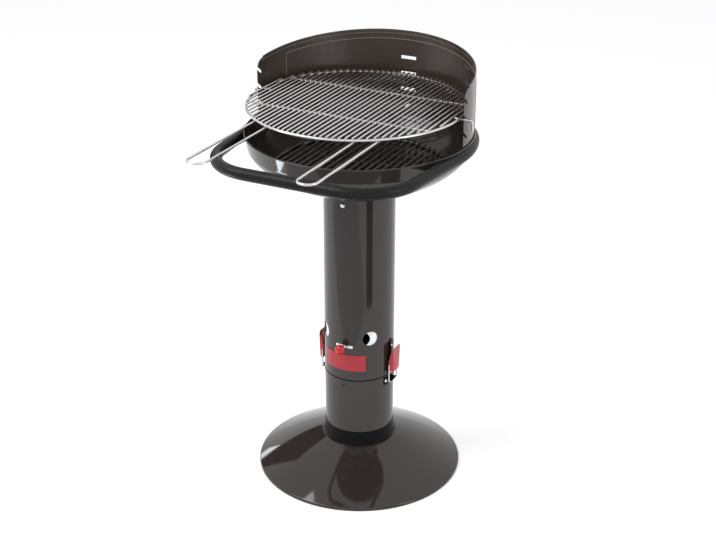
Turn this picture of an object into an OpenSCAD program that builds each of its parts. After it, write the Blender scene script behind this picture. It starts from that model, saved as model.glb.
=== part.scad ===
// Charcoal grill on a single column: a round bowl with a tubular handle loop, a slotted windscreen
// and a wire cooking grid, standing on a dished foot. The column has a turning vent sleeve and is
// clamped to the ash pot below it by two toggle latches. The front faces -Y, the windscreen +Y.

/* [Base] */
// Outer radius of the dished foot
base_r = 237; // [200:1:260]
// Height of the flat top of the dish, where the ash pot stands
base_rise = 77; // [55:1:100]
// How far the cone of the dish bulges above a straight line
base_crown = 4; // [0:0.5:8]
// Sheet thickness of the dish
base_sheet = 1.5; // [1:0.1:2.5]
// Height of the turned-down edge
base_hem_h = 7; // [4:0.5:10]
// Width of the inward fold that rests on the floor
base_hem_w = 8; // [5:0.5:12]
// Radius of the hole in the top of the dish
base_hole_r = 28; // [15:1:38]
// Height of the flared collar round the foot of the pot
collar_h = 34; // [20:1:50]
// How far the collar flares beyond the pot
collar_flare = 4.8; // [3:0.1:8]

/* [Ash pot] */
// Height of the pot from the dish to the joint
pot_h = 168.7; // [140:1:200]
// How far the pot's wall is set in from the column's
pot_inset = 0.5; // [0.2:0.1:1]
// Length of the neck that stands inside the column
neck_h = 16; // [10:1:24]
// Distance of the studs under the pot from its wall
stud_in = 27.5; // [18:0.5:36]
// Radius of a stud
stud_r = 3; // [2:0.25:4]
// Length of a stud below the pot
stud_len = 15; // [12:1:20]
// Radius of the overflow hole
overflow_r = 2; // [1.5:0.25:3]
// Distance of the overflow hole below the joint
overflow_down = 14.7; // [10:0.5:20]

/* [Column] */
// Outer radius of the column tube
column_r = 80; // [70:1:90]
// Length of the column tube
column_h = 459.6; // [380:1:520]
// Wall of the column and of the pot
tube_wall = 1.2; // [0.8:0.1:2]
// Width of the dark line between pot and column
joint_gap = 0.4; // [0.3:0.1:1]
// Height of the vent holes above the joint
vent_up = 106; // [95:1:120]
// Radius of a vent hole
vent_r = 17.5; // [12:0.5:20]
// Number of vent holes
vent_count = 4; // [3:1:4]
// Turn of the vent sleeve to either side of half open
vent_turn = 13; // [10:0.5:13]
// Height of the knob's slot above the joint
slot_up = 84.5; // [76:0.5:86]
// Height of the knob's slot
slot_h = 8; // [7:0.5:10]
// Half of the slot's angle round the column
slot_half = 16; // [15.5:0.5:20]

/* [Vent knob] */
// Radius of the round knob
knob_r = 11.5; // [9:0.5:14]
// Length of the knob along its stem
knob_len = 17; // [12:1:22]
// Distance from the column to the back of the knob
knob_off = 9; // [6:0.5:14]
// Radius of the stem
stem_r = 3; // [2:0.25:3]

/* [Label plate] */
// Height of the plate's middle above the joint
label_up = 45; // [38:1:50]
// Height of the plate
label_h = 40; // [25:1:50]
// Half of the plate's angle round the column
label_half = 37; // [25:1:45]
// Thickness of the plate
label_t = 1; // [0.5:0.1:2]

/* [Latches] */
// Distance of the lever's pivot from the column's surface
pivot_out = 8; // [7.5:0.25:10]
// Height of the lever's pivot above the joint
pivot_up = 12.3; // [9:0.5:16]
// Radius of the pivot pin
pivot_r = 2; // [1.5:0.25:2.25]
// Distance from the pivot to the bail's ends
throw_r = 16; // [13:0.5:18]
// Angle by which the bail's ends lie past centre
past_centre = 7; // [4:0.5:9]
// Width of the lever
lever_w = 36; // [30:1:40]
// Thickness of the lever's sheet
lever_t = 1.5; // [1:0.1:1.6]
// Height of the lever's plate
lever_h = 62; // [50:1:70]
// Radius of the bail's wire
bail_wire = 1.5; // [1:0.1:1.6]
// Distance of the bail's lower bar below the joint
bail_drop = 16.5; // [13:0.5:20]
// Height of the bracket that carries the lever
bracket_h = 84; // [75:1:90]
// Sheet thickness of bracket and catch
bracket_t = 2; // [1.5:0.1:2.2]
// Height of the catch plate on the pot
catch_h = 18; // [14:1:24]
// Half of the catch plate's angle round the pot
catch_half = 18.5; // [14:0.5:20]
// Width of the catch's tongue
tongue_w = 26; // [18:1:30]

/* [Bowl] */
// Outer radius of the bowl at its rim
bowl_r = 250.6; // [235:0.2:265]
// Height of the steep wall below the rim
wall_h = 30.6; // [29:0.2:40]
// How much narrower the wall is at its foot than at the rim
wall_taper = 7.1; // [5:0.1:10]
// Depth from the foot of the wall to the flat floor
dish_h = 85; // [70:1:100]
// Width of the flat floor outside the column
floor_w = 30; // [20:1:45]
// Roundness of the dish, where 1 is a cone and 2 an ellipse
dish_round = 1.5; // [1.2:0.05:2]
// Sheet thickness of the bowl
bowl_sheet = 1.5; // [1:0.1:2]
// Radius of the rolled edge
rim_roll = 1.6; // [1:0.1:2]
// Width of the bowl's seat on the column
seat_w = 16; // [14:1:30]
// Length of the neck that joins bowl and column
socket_h = 50; // [44:1:70]
// Distance of the neck's bolts below the top of the column
bolt_down = 33; // [20:1:38]
// Radius of the bolts' shanks
bolt_r = 3; // [2.5:0.25:4]

/* [Handle] */
// Radius of the handle tube
handle_r = 13; // [10:0.5:14]
// Wall of the handle tube
handle_wall = 1.5; // [1:0.1:2.5]
// Distance of the tube's centre below the rim
handle_down = 18.1; // [17.8:0.1:19]
// How far the tube stands proud of the bowl's wall
handle_proud = 12; // [10:0.25:13]
// How far the front bar lies beyond the bowl's rim
bar_out = 56.4; // [45:0.2:70]
// Bend radius of the front corners
corner_bend = 118; // [70:1:130]
// Angle by which each side arm leans inwards to the front
arm_toe = 6.5; // [3:0.5:9]

/* [Fire grate] */
// Angle of the grate's place on the dish, where 90 is the flat floor
grate_seat = 47; // [42:1:58]
// Radius of the grate's ring wire
grate_wire = 3; // [2:0.25:4]
// Distance between the grate's bars
grate_pitch = 16; // [12:1:24]

/* [Windscreen] */
// Gap between the bowl's rolled edge and the windscreen
screen_gap = 0.7; // [0.3:0.1:1]
// Sheet thickness of the windscreen
screen_t = 1.2; // [1:0.1:1.4]
// Half of the windscreen's angle
screen_half = 92.5; // [91:0.5:94]
// Height of the windscreen above the rim, at the back
screen_up = 157.4; // [150:1:175]
// How much higher the back is than the ends
screen_arch = 32.4; // [20:1:45]
// Width of the folded top edge
hem_w = 8; // [5:0.5:12]
// Distance from the top edge to the pressed panel
panel_down = 21; // [15:1:30]
// Half of the pressed panel's angle
panel_half = 69; // [60:1:75]
// Depth of the pressed panel
panel_depth = 0.8; // [0.4:0.1:0.9]
// Rounding of the upper corners
screen_corner = 25; // [10:1:30]

/* [Cooking grid] */
// Gap between the cooking grid and the windscreen, at the sides
grid_gap = 8; // [7.5:0.5:12]
// Height of the grid above the rim
grid_up = 61.4; // [50:0.5:64]
// How far the grid lies forward of the column's axis
grid_forward = 13; // [12:0.5:15]
// Distance between bars
bar_pitch = 12.5; // [10:0.5:20]
// Radius of the ring, cross wires and handles
ring_wire = 2.5; // [2:0.1:2.6]
// Radius of the bars and hooks
bar_wire = 2.25; // [1.5:0.05:2.4]
// Distance of the cross wires from the grid's middle
cross_y = 95; // [60:1:110]
// Distance of each wire handle from the middle
grip_x = 121; // [90:1:130]
// Width of a wire handle
grip_w = 46; // [36:1:56]
// How far the wire handles reach beyond the ring
grip_out = 220.5; // [180:0.5:250]
// How far the handles' legs run in under the ring
grip_in = 67.5; // [60:0.5:120]
// How far the side hooks reach beyond the windscreen
hook_out = 13.5; // [12.5:0.5:18]
// How far the side hooks turn down
hook_down = 20; // [12:1:30]
// Height between two settings of the grid
step_h = 37; // [30:1:37]
// Slope of the notches that hold the hooks
notch_slope = 38; // [30:1:42]
// Width of the slots at the back
rear_slot_w = 37; // [34:1:50]

/* [Hidden] */

$fn = 48;
seat = 0.3;          // gap between curved or lifting pieces that rest on each other
weld = 0.03;         // gap between wires that are welded where they cross
run = 0.05;          // radial clearance of a pin in its hole
cut = 3;             // reach of a hole's cutter beyond its wall
far = 400;           // reach of the cutting blocks, well outside the part
hole_turn = 45;      // turn of a hole's seam away from the lowest line of its wall

// Heights of the main seats, from the floor up
joint_z = base_rise + pot_h;
column_z0 = joint_z + joint_gap;
column_z1 = column_z0 + column_h;
floor_z = column_z1 + seat;
crease_z = floor_z + dish_h;
rim_z = crease_z + wall_h;
vent_z = column_z0 + vent_up;
slot_z = column_z0 + slot_up;
label_z = column_z0 + label_up;
grid_z = rim_z + grid_up;

// Radii that follow from the column
column_in = column_r - tube_wall;
pot_r = column_r - pot_inset;
sleeve_r = column_in - seat;
sleeve_t = 1;
sleeve_margin = 8.5;
sleeve_hole_in = 0.5;
stud_ring_r = pot_r - stud_in;
mouth_r = column_r - seat_w;
floor_r = column_r + floor_w;

// Wall of the bowl: a cone from the crease up to the rolled edge
roll_proud = 0.35;
wall_top_r = bowl_r - roll_proud;
crease_r = bowl_r - wall_taper;
wall_slope = (wall_top_r - crease_r) / (wall_h - rim_roll);
wall_lean = atan(wall_slope);
function wall_r(z) = crease_r + (z - crease_z) * wall_slope;

// Dish of the bowl: a superellipse arc from the crease (t = 0) to the floor (t = 90)
function dish_point(t, inset) = [
    floor_r + (crease_r - floor_r - inset) * pow(cos(t), 2 / dish_round),
    crease_z - (dish_h - inset) * pow(sin(t), 2 / dish_round)];
dish_steps = 12;
function dish_arc(inset) = [for (i = [0 : dish_steps]) dish_point(90 * i / dish_steps, inset)];
function backwards(points) = [for (i = [len(points) - 1 : -1 : 0]) points[i]];

// Stands children with their local Z along the outward direction at an angle from +X
module radial(angle, z) {
    rotate([0, 0, angle]) translate([0, 0, z]) rotate([0, 90, 0]) children();
}

// Hole drilled outwards through a wall round the Z axis
module drill(angle, z, r) {
    radial(angle, z) rotate([0, 0, hole_turn]) cylinder(r = r, h = 2 * column_r);
}

// Mirrors a right-hand piece to the left where side is -1
module on_side(side) {
    mirror([side < 0 ? 1 : 0, 0, 0]) children();
}

// Extrudes a YZ drawing along X, centred
module along_x(length) {
    rotate([90, 0, 90]) linear_extrude(length, center = true) children();
}

// Extrudes an XZ drawing along Y from y0 to y1
module along_y(y0, y1) {
    translate([0, y1, 0]) rotate([90, 0, 0]) linear_extrude(y1 - y0) children();
}

// Curved plate round the Z axis, centred on an angle from +X
module curved_plate(r_in, thick, middle, half, z0, z1) {
    rotate([0, 0, middle - half]) rotate_extrude(angle = 2 * half)
        translate([r_in, z0]) square([thick, z1 - z0]);
}

// Dish of the base: outer skin from the hem up to the flat top
dish_top_r = pot_r + collar_flare;
hem_round = 2;
foot_round = 0.5;
skirt_steps = 10;
function skirt(t, drop) = [
    base_r - hem_round + (dish_top_r - base_r + hem_round) * t,
    base_hem_h + (base_rise - base_hem_h) * t + 4 * base_crown * t * (1 - t) - drop];

module base_dish() color([0.14, 0.13, 0.13]) {
    outer = [for (i = [0 : skirt_steps]) skirt(i / skirt_steps, 0)];
    inner = [for (i = [0 : skirt_steps]) skirt(i / skirt_steps, base_sheet)];
    difference() {
        rotate_extrude($fn = 96) polygon(concat(
            [[base_r - base_hem_w, 0], [base_r - foot_round, 0]],
            [[base_r, foot_round], [base_r, base_hem_h - hem_round]],
            outer,
            [[base_hole_r, base_rise], [base_hole_r, base_rise - base_sheet]],
            [[dish_top_r - base_sheet, base_rise - base_sheet]],
            backwards([for (i = [0 : skirt_steps - 1]) inner[i]]),
            [[base_r - base_sheet, base_hem_h - hem_round - base_sheet / 2],
            [base_r - base_sheet, base_sheet], [base_r - base_hem_w, base_sheet]]));
        for (a = [0 : 120 : 240]) rotate([0, 0, a + 90])
            translate([stud_ring_r, 0, base_rise - 2 * base_sheet])
                cylinder(r = stud_r + seat, h = 3 * base_sheet);
    }
}

// Flared collar: a concave sweep from the dish's top up to the pot's wall
module foot_collar() color([0.09, 0.09, 0.09]) {
    flare_steps = 8;
    inner_r = pot_r + run;
    lip = 0.8;
    sweep = collar_flare - lip - run;
    rotate_extrude($fn = 96) polygon(concat(
        [[inner_r, base_rise]],
        [for (i = [0 : flare_steps]) let (t = 90 * i / flare_steps)
            [inner_r + lip + sweep * (1 - sin(t)), base_rise + collar_h * (1 - cos(t))]],
        [[inner_r, base_rise + collar_h]]));
}

// Flanged nuts on the pot's studs, under the dish
nut_af = 10;
nut_h = 5;
washer_w = 4.5;
washer_t = 1.5;
module base_nuts() color("silver") {
    for (a = [0 : 120 : 240]) rotate([0, 0, a + 90])
        translate([stud_ring_r, 0, base_rise - base_sheet - nut_h]) difference() {
            union() {
                cylinder(r = nut_af / sqrt(3), h = nut_h, $fn = 6);
                translate([0, 0, nut_h - washer_t]) cylinder(r = stud_r + washer_w, h = washer_t);
            }
            translate([0, 0, -cut]) cylinder(r = stud_r + run, h = nut_h + 2 * cut);
        }
}

// Deep-drawn pot with a closed floor, a stepped neck, an overflow hole and three weld studs
neck_r = column_in - pot_inset;
module ash_pot() color([0.16, 0.15, 0.15]) {
    difference() {
        union() {
            rotate_extrude($fn = 96) polygon([
                [0, base_rise], [pot_r, base_rise], [pot_r, joint_z], [neck_r, joint_z],
                [neck_r, joint_z + neck_h], [neck_r - tube_wall, joint_z + neck_h],
                [neck_r - tube_wall, joint_z - tube_wall], [pot_r - tube_wall, joint_z - 2 * tube_wall],
                [pot_r - tube_wall, base_rise + tube_wall], [0, base_rise + tube_wall]]);
            for (a = [0 : 120 : 240]) rotate([0, 0, a + 90])
                translate([stud_ring_r, 0, base_rise - stud_len])
                    cylinder(r = stud_r, h = stud_len + tube_wall / 2);
        }
        radial(-90, joint_z - overflow_down) cylinder(r = overflow_r, h = pot_r + cut);
        for (side = [0, 180]) for (a = [-1, 1])
            radial(side + a * catch_rivet_a, catch_z) cylinder(r = rivet_r + run, h = pot_r + cut);
    }
}

module column_tube() color([0.16, 0.15, 0.15]) {
    difference() {
        translate([0, 0, column_z0]) rotate_extrude($fn = 96)
            translate([column_in, 0]) square([tube_wall, column_h]);
        for (i = [0 : vent_count - 1]) drill(-45 + i * 360 / vent_count, vent_z, vent_r);
        curved_plate(column_in - cut, tube_wall + 2 * cut, -90, slot_half,
            slot_z - slot_h / 2, slot_z + slot_h / 2);
        for (a = [0 : 120 : 240]) radial(a - 90, column_z1 - bolt_down)
            cylinder(r = bolt_r + seat, h = column_r + cut);
        for (side = [0, 180]) for (z = rivet_zs) radial(side, z)
            cylinder(r = rivet_r + run, h = column_r + cut);
    }
}

// Bright inner sleeve: its holes sit half a stroke off the column's, so the vent rests half open
module vent_sleeve() color([0.85, 0.85, 0.86]) {
    difference() {
        translate([0, 0, slot_z - sleeve_margin]) rotate_extrude($fn = 96)
            translate([sleeve_r - sleeve_t, 0])
                square([sleeve_t, vent_z + vent_r + sleeve_margin - slot_z + sleeve_margin]);
        for (i = [0 : vent_count - 1])
            drill(-45 - vent_turn + i * 360 / vent_count, vent_z, vent_r - sleeve_hole_in);
        drill(-90, slot_z, stem_r + run);
    }
}

// Stem of the knob, with a round head inside the sleeve
stem_head_h = 3;
stem_head_w = 2;
stem_cover = 5;
module vent_knob_stem() color("silver") {
    head_top = sleeve_r - sleeve_t - seat;
    stem_end = column_r + knob_off + knob_len - stem_cover - 1;
    radial(-90, slot_z) {
        translate([0, 0, head_top - stem_head_h]) cylinder(r = stem_r + stem_head_w, h = stem_head_h);
        translate([0, 0, head_top - 1]) cylinder(r = stem_r, h = stem_end - head_top + 1);
    }
}

// Turned knob with a flat back, a waist and a domed front
module vent_knob() color([0.75, 0.05, 0.06]) {
    dome_steps = 8;
    waist_r = knob_r * 0.62;
    waist_z = knob_len * 0.16;
    shoulder = knob_len * 0.42;
    radial(-90, slot_z) translate([0, 0, column_r + knob_off]) difference() {
        rotate_extrude() polygon(concat(
            [[0, 0], [waist_r, 0], [waist_r, waist_z]],
            [for (i = [0 : dome_steps]) let (t = 90 * i / dome_steps)
                [waist_r + (knob_r - waist_r) * sin(t), waist_z + (shoulder - waist_z) * (1 - cos(t))]],
            [for (i = [1 : dome_steps]) let (t = 90 * i / dome_steps)
                [knob_r * cos(t), shoulder + (knob_len - shoulder) * sin(t)]]));
        translate([0, 0, -cut]) cylinder(r = stem_r + run, h = knob_len - stem_cover - 1 + cut + run);
    }
}

// Bare curved plate on the front of the column
module label_plate() color([0.72, 0.05, 0.08]) {
    curved_plate(column_r + run, label_t, -90, label_half,
        label_z - label_h / 2, label_z + label_h / 2);
}

// Toggle latches, drawn for the right-hand side
pivot = [column_r + pivot_out, joint_z + pivot_up];
bail_end = [pivot[0] - throw_r * sin(past_centre), pivot[1] + throw_r * cos(past_centre)];
bar_z = joint_z - bail_drop;
tongue_z = bar_z + bail_wire + seat;
tongue_t = 2;
tongue_lip = 2;
catch_t = bracket_t - 0.5;
catch_z = tongue_z + tongue_t / 2;
bracket_z0 = joint_z + 3.3;
ear_r = 4.2;
ear_t = 2;
ear_gap = 2;
flange_in = lever_w / 2 - lever_t;
ear_y = flange_in - ear_gap - ear_t;
bail_gap = 0.7;
bail_y = lever_w / 2 + bail_gap + bail_wire;
rivet_r = 2.4;
rivet_head = 4;
rivet_down = 18;
rivet_apart = 14;
rivet_top = bracket_z0 + bracket_h - rivet_down;
rivet_zs = [rivet_top - rivet_apart, rivet_top];
catch_rivet_a = catch_half - 4;

module latch_bracket(side) on_side(side) color([0.12, 0.12, 0.12]) {
    foot_w = 2 * (ear_y + ear_t);
    stem_w = 22.5;
    foot_top = pivot[1] + ear_r + 9;
    ear_lap = 0.3;
    difference() {
        union() {
            intersection() {
                curved_plate(column_r + run, bracket_t, 0, 25,
                    bracket_z0 - cut, bracket_z0 + bracket_h + cut);
                along_x(4 * column_r) union() {
                    translate([-foot_w / 2, bracket_z0]) square([foot_w, foot_top - bracket_z0]);
                    translate([-stem_w / 2, bracket_z0]) square([stem_w, bracket_h - stem_w / 2]);
                    translate([0, bracket_z0 + bracket_h - stem_w / 2]) circle(r = stem_w / 2);
                }
            }
            for (y = [-ear_y - ear_t + ear_lap, ear_y - ear_lap]) along_y(y, y + ear_t) union() {
                translate(pivot) circle(r = ear_r);
                translate([column_r + run + bracket_t / 2, pivot[1] - ear_r])
                    square([pivot_out - run - bracket_t / 2, 2 * ear_r]);
            }
        }
        along_y(-lever_w, lever_w) translate(pivot) circle(r = pivot_r + run / 2);
        for (z = rivet_zs) radial(0, z) cylinder(r = rivet_r + run, h = column_r + 2 * cut);
    }
}

module latch_pin(side) on_side(side) color("silver") {
    along_y(-lever_w / 2 - seat, lever_w / 2 + seat) translate(pivot) circle(r = pivot_r);
}

// Sheet lever: a leaning plate with two side flanges that hang on the pin
module latch_lever(side) on_side(side) color([0.75, 0.06, 0.08]) {
    foot_x = pivot[0] + ear_r + 0.4 + lever_t;
    foot_z = pivot[1] - 2;
    head_x = foot_x + lever_h * 0.1;
    head_z = foot_z + lever_h;
    hub_r = 5.5;
    difference() {
        union() {
            along_y(-lever_w / 2, lever_w / 2) union() {
                polygon([[foot_x - lever_t, foot_z], [foot_x, foot_z], [head_x, head_z - 4],
                    [head_x + 2.5, head_z], [head_x + 2.5 - lever_t, head_z + 0.6],
                    [head_x - lever_t, head_z - 3.5]]);
            }
            for (y = [-lever_w / 2, flange_in]) along_y(y, y + lever_t) difference() {
                union() {
                    translate(pivot) circle(r = hub_r);
                    polygon([[pivot[0] - hub_r * 0.8, pivot[1] + 3], [bail_end[0] - 4, bail_end[1] - 3],
                        [bail_end[0] - 4, bail_end[1] + 4], [bail_end[0] - 1, bail_end[1] + 7],
                        [head_x - lever_t - 1, head_z - 8], [head_x - 0.3, head_z - 6],
                        [foot_x - 0.1, foot_z], [pivot[0] + 2, pivot[1] - hub_r + 0.5]]);
                }
                translate(bail_end) circle(r = bail_wire + run);
            }
        }
        along_y(-lever_w, lever_w) translate(pivot) circle(r = pivot_r + run);
    }
}

// Wire bail: two legs from the lever down to a bar under the catch's tongue
module latch_bail(side) on_side(side) color([0.9, 0.9, 0.92]) {
    bend = 5;
    leg_z = bar_z + bend;
    for (s = [-1, 1]) {
        translate([bail_end[0], s * bail_y, leg_z]) cylinder(r = bail_wire, h = bail_end[1] - leg_z);
        translate([bail_end[0], s * bail_y, bail_end[1]]) sphere(r = bail_wire);
        along_y(s > 0 ? flange_in - 0.6 : -bail_y, s > 0 ? bail_y : -flange_in + 0.6)
            translate(bail_end) circle(r = bail_wire);
        translate([bail_end[0], s * (bail_y - bend), leg_z]) rotate([0, 90, 0])
            rotate([0, 0, s > 0 ? 0 : -90]) rotate_extrude(angle = 90)
                translate([bend, 0]) circle(r = bail_wire);
    }
    along_y(-bail_y + bend, bail_y - bend) translate([bail_end[0], bar_z]) circle(r = bail_wire);
}

// Catch: a curved plate on the pot with a flat tongue over the bail's bar
module pot_catch(side) on_side(side) color([0.12, 0.12, 0.12]) {
    difference() {
        union() {
            curved_plate(pot_r + run, catch_t, 0, catch_half, catch_z - catch_h / 2, catch_z + catch_h / 2);
            translate([pot_r + catch_t / 2, -tongue_w / 2, tongue_z])
                cube([pivot[0] + tongue_lip - pot_r - catch_t / 2, tongue_w, tongue_t]);
        }
        for (a = [-1, 1]) radial(a * catch_rivet_a, catch_z)
            cylinder(r = rivet_r + run, h = pot_r + 2 * cut);
    }
}

// Domed rivet along local Z: its head rests on the outside, its tail is flush inside
module rivet(r_in, r_out) {
    translate([0, 0, r_in]) cylinder(r = rivet_r, h = r_out - r_in + 0.5);
    translate([0, 0, r_out + run]) intersection() {
        cylinder(r = rivet_head, h = rivet_head * 0.55);
        translate([0, 0, -rivet_head * 0.9]) sphere(r = rivet_head * 1.4);
    }
}

module latch_rivets() color([0.2, 0.2, 0.2]) {
    for (side = [0, 180]) for (z = rivet_zs) radial(side, z)
        rivet(column_in + run, column_r + run + bracket_t);
}

module catch_rivets() color([0.2, 0.2, 0.2]) {
    for (side = [0, 180]) for (a = [-1, 1]) radial(side + a * catch_rivet_a, catch_z)
        rivet(pot_r - tube_wall + run, pot_r + run + catch_t);
}

// Bowl: flat floor with a mouth over the column, a rounded dish, a steep wall and a rolled edge
module bowl() color([0.15, 0.14, 0.14]) {
    difference() {
        union() {
            rotate_extrude($fn = 120) polygon(concat(
                [[wall_top_r, rim_z - rim_roll]], dish_arc(0),
                [[mouth_r, floor_z], [mouth_r, floor_z + bowl_sheet]],
                backwards(dish_arc(bowl_sheet)),
                [[wall_top_r - bowl_sheet, rim_z - rim_roll]]));
            rotate_extrude($fn = 120) translate([bowl_r - rim_roll, rim_z - rim_roll]) circle(r = rim_roll);
        }
        for (a = screw_angles) at_wall(a) translate([0, 0, -bowl_sheet - cut])
            cylinder(r = bolt_r + seat, h = bowl_sheet + 2 * cut);
    }
}

// Socket: a short tube inside the column with an inward flange welded under the bowl's floor
module bowl_socket() color([0.2, 0.19, 0.19]) {
    flange_r = mouth_r + 2;
    difference() {
        rotate_extrude($fn = 96) polygon([
            [sleeve_r, floor_z - socket_h], [sleeve_r, floor_z], [flange_r, floor_z],
            [flange_r, floor_z - tube_wall], [sleeve_r - tube_wall, floor_z - tube_wall],
            [sleeve_r - tube_wall, floor_z - socket_h]]);
        for (a = [0 : 120 : 240]) radial(a - 90, column_z1 - bolt_down)
            cylinder(r = bolt_r + seat, h = column_r + cut);
    }
}

// Dome-headed bolts through column and socket
bolt_len = 12;
module bowl_bolts() color([0.9, 0.9, 0.9]) {
    for (a = [0 : 120 : 240]) radial(a - 90, column_z1 - bolt_down) {
        translate([0, 0, column_r - bolt_len + seat]) cylinder(r = bolt_r, h = bolt_len);
        translate([0, 0, column_r + seat]) intersection() {
            cylinder(r = bolt_r + 2.2, h = 3.4);
            translate([0, 0, -3]) sphere(r = bolt_r + 3.4);
        }
    }
}

module bowl_nuts() color("silver") {
    nut_back = sleeve_r - tube_wall - 1;
    for (a = [0 : 120 : 240]) radial(a - 90, column_z1 - bolt_down)
        translate([0, 0, nut_back - nut_h]) difference() {
            cylinder(r = nut_af / sqrt(3), h = nut_h, $fn = 6);
            translate([0, 0, -cut]) cylinder(r = bolt_r + run, h = nut_h + 2 * cut);
        }
}

// Handle: one closed loop of tube. It hugs the bowl's wall, where its inner side is flattened,
// and runs forward in two leaning arms to big corners and a straight front bar.
handle_z = rim_z - handle_down;
ring_r = wall_r(handle_z) + handle_proud - handle_r;
bar_reach = bowl_r + bar_out;
corner_y = corner_bend - bar_reach;
arm_len = (-corner_y - (ring_r - corner_bend) * sin(arm_toe)) / cos(arm_toe);
corner_x = (ring_r - corner_bend) * cos(arm_toe) - arm_len * sin(arm_toe);
screw_angles = [15, 90, 165];

// The straight runs are a hair thicker than the bends and lap a little way into them
joint_lap = 0.5;
hair = 0.1;

// Wall's outline in a drawing of radius and height, grown by a clearance
module wall_side(grow) {
    polygon([[0, crease_z - far], [wall_r(crease_z - far) + grow, crease_z - far],
        [wall_r(crease_z + far) + grow, crease_z + far], [0, crease_z + far]]);
}

// Cross-section of the ring: a tube whose side is cut along the bowl's wall
module cut_section() {
    difference() {
        translate([ring_r, handle_z]) circle(r = handle_r);
        wall_side(seat);
        difference() {
            translate([ring_r, handle_z]) circle(r = handle_r - handle_wall);
            wall_side(seat + handle_wall);
        }
    }
}

// Solid that the bowl's wall fills, grown by a clearance
module wall_cone(grow) {
    below = 24;
    above = 20;
    translate([0, 0, crease_z - below])
        cylinder(r1 = wall_r(crease_z - below) + grow, r2 = wall_r(rim_z + above) + grow,
            h = below + wall_h + above, $fn = 120);
}

// Stands children on the wall's outer face at the handle's height, local Z pointing out of the wall
module at_wall(angle) {
    rotate([0, 0, angle]) translate([wall_r(handle_z), 0, handle_z])
        rotate([0, 90 + wall_lean, 0]) children();
}

// Rod along a side arm, reaching a little way beyond both its ends
module arm(r) {
    translate([ring_r * cos(arm_toe), -ring_r * sin(arm_toe), handle_z]) rotate([90, 0, -arm_toe])
        translate([0, 0, -joint_lap]) cylinder(r = r, h = arm_len + 2 * joint_lap);
}

module handle_loop() color([0.1, 0.1, 0.1]) {
    difference() {
        rotate([0, 0, -arm_toe]) rotate_extrude(angle = 180 + 2 * arm_toe, $fn = 120) cut_section();
        for (a = screw_angles) at_wall(a) cylinder(r = bolt_r + run, h = 3 * handle_wall);
    }
    for (side = [-1, 1]) on_side(side) {
        difference() {
            arm(handle_r + hair);
            wall_cone(seat - hair);
            difference() {
                arm(handle_r - handle_wall - hair);
                wall_cone(seat + handle_wall + hair);
            }
        }
        translate([corner_x, corner_y, handle_z]) rotate([0, 0, -90])
            rotate_extrude(angle = 90 - arm_toe, $fn = 96) translate([corner_bend, 0]) difference() {
                circle(r = handle_r);
                circle(r = handle_r - handle_wall);
            }
    }
    translate([-corner_x - joint_lap, -bar_reach, handle_z]) rotate([0, 90, 0]) difference() {
        cylinder(r = handle_r + hair, h = 2 * (corner_x + joint_lap));
        cylinder(r = handle_r - handle_wall - hair, h = 2 * (corner_x + joint_lap));
    }
}

// Pan-head screws from inside the bowl into the flattened side of the tube
module handle_screws() color([0.25, 0.25, 0.25]) {
    pan_h = 2.4;
    pan_w = 3;
    grip = 7;
    for (a = screw_angles) at_wall(a) translate([0, 0, -bowl_sheet - seat]) {
        translate([0, 0, -pan_h]) cylinder(r = bolt_r + pan_w, h = pan_h);
        translate([0, 0, -1]) cylinder(r = bolt_r, h = 1 + bowl_sheet + seat + grip);
    }
}

// Fire grate: its ring lies on the slope of the dish
grate_point = dish_point(grate_seat, bowl_sheet);
grate_step = dish_point(grate_seat + 1, bowl_sheet) - dish_point(grate_seat - 1, bowl_sheet);
grate_up = [grate_step[1], -grate_step[0]] / norm(grate_step);
grate_c = grate_point + grate_up * (grate_wire + seat);
module fire_grate_ring() color([0.6, 0.6, 0.6]) {
    translate([0, 0, grate_c[1]]) rotate_extrude($fn = 96)
        translate([grate_c[0], 0]) circle(r = grate_wire);
}

// Parallel rods centred on an axis, each cut to the chord of its ring
module rods(radius, ring, pitch, z, over) {
    last = floor((ring - 2 * radius - 4) / pitch);
    for (i = [-last : last]) {
        half = sqrt(ring * ring - i * i * pitch * pitch) + over;
        translate([i * pitch, half, z]) rotate([90, 0, 0]) cylinder(r = radius, h = 2 * half, $fn = 24);
    }
}

module fire_grate_bars() color([0.6, 0.6, 0.6]) {
    bar_r = grate_wire * 0.8;
    rods(bar_r, grate_c[0], grate_pitch, grate_c[1] + grate_wire + bar_r + weld, 1);
}

// Windscreen: a rolled sheet that drops into the bowl's tapered mouth
screen_r = bowl_r - 2 * rim_roll - screen_gap;
screen_in = screen_r - screen_t;
screen_z0 = crease_z + (screen_r + seat - crease_r + bowl_sheet) / wall_slope;
screen_z1 = rim_z + screen_up;
arch_lean = atan(screen_arch / screen_r);
end_y = -screen_r * sin(screen_half - 90);
end_z = screen_z1 - screen_arch + end_y * tan(arch_lean);

// Block above the arched top edge, lowered by a distance
module above_arch(drop, height) {
    translate([0, 0, screen_z1 - screen_arch - drop]) rotate([arch_lean, 0, 0])
        translate([-far, -far, 0]) cube([2 * far, 2 * far, height]);
}

hook_y = 4;
hook_z = grid_z - ring_wire - bar_wire - weld;
notch_r = bar_wire + 0.75;
slot_low = hook_z - bar_wire - seat;
rear_slot_h = 7.6;
steps = [-1, 0, 1];

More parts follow.
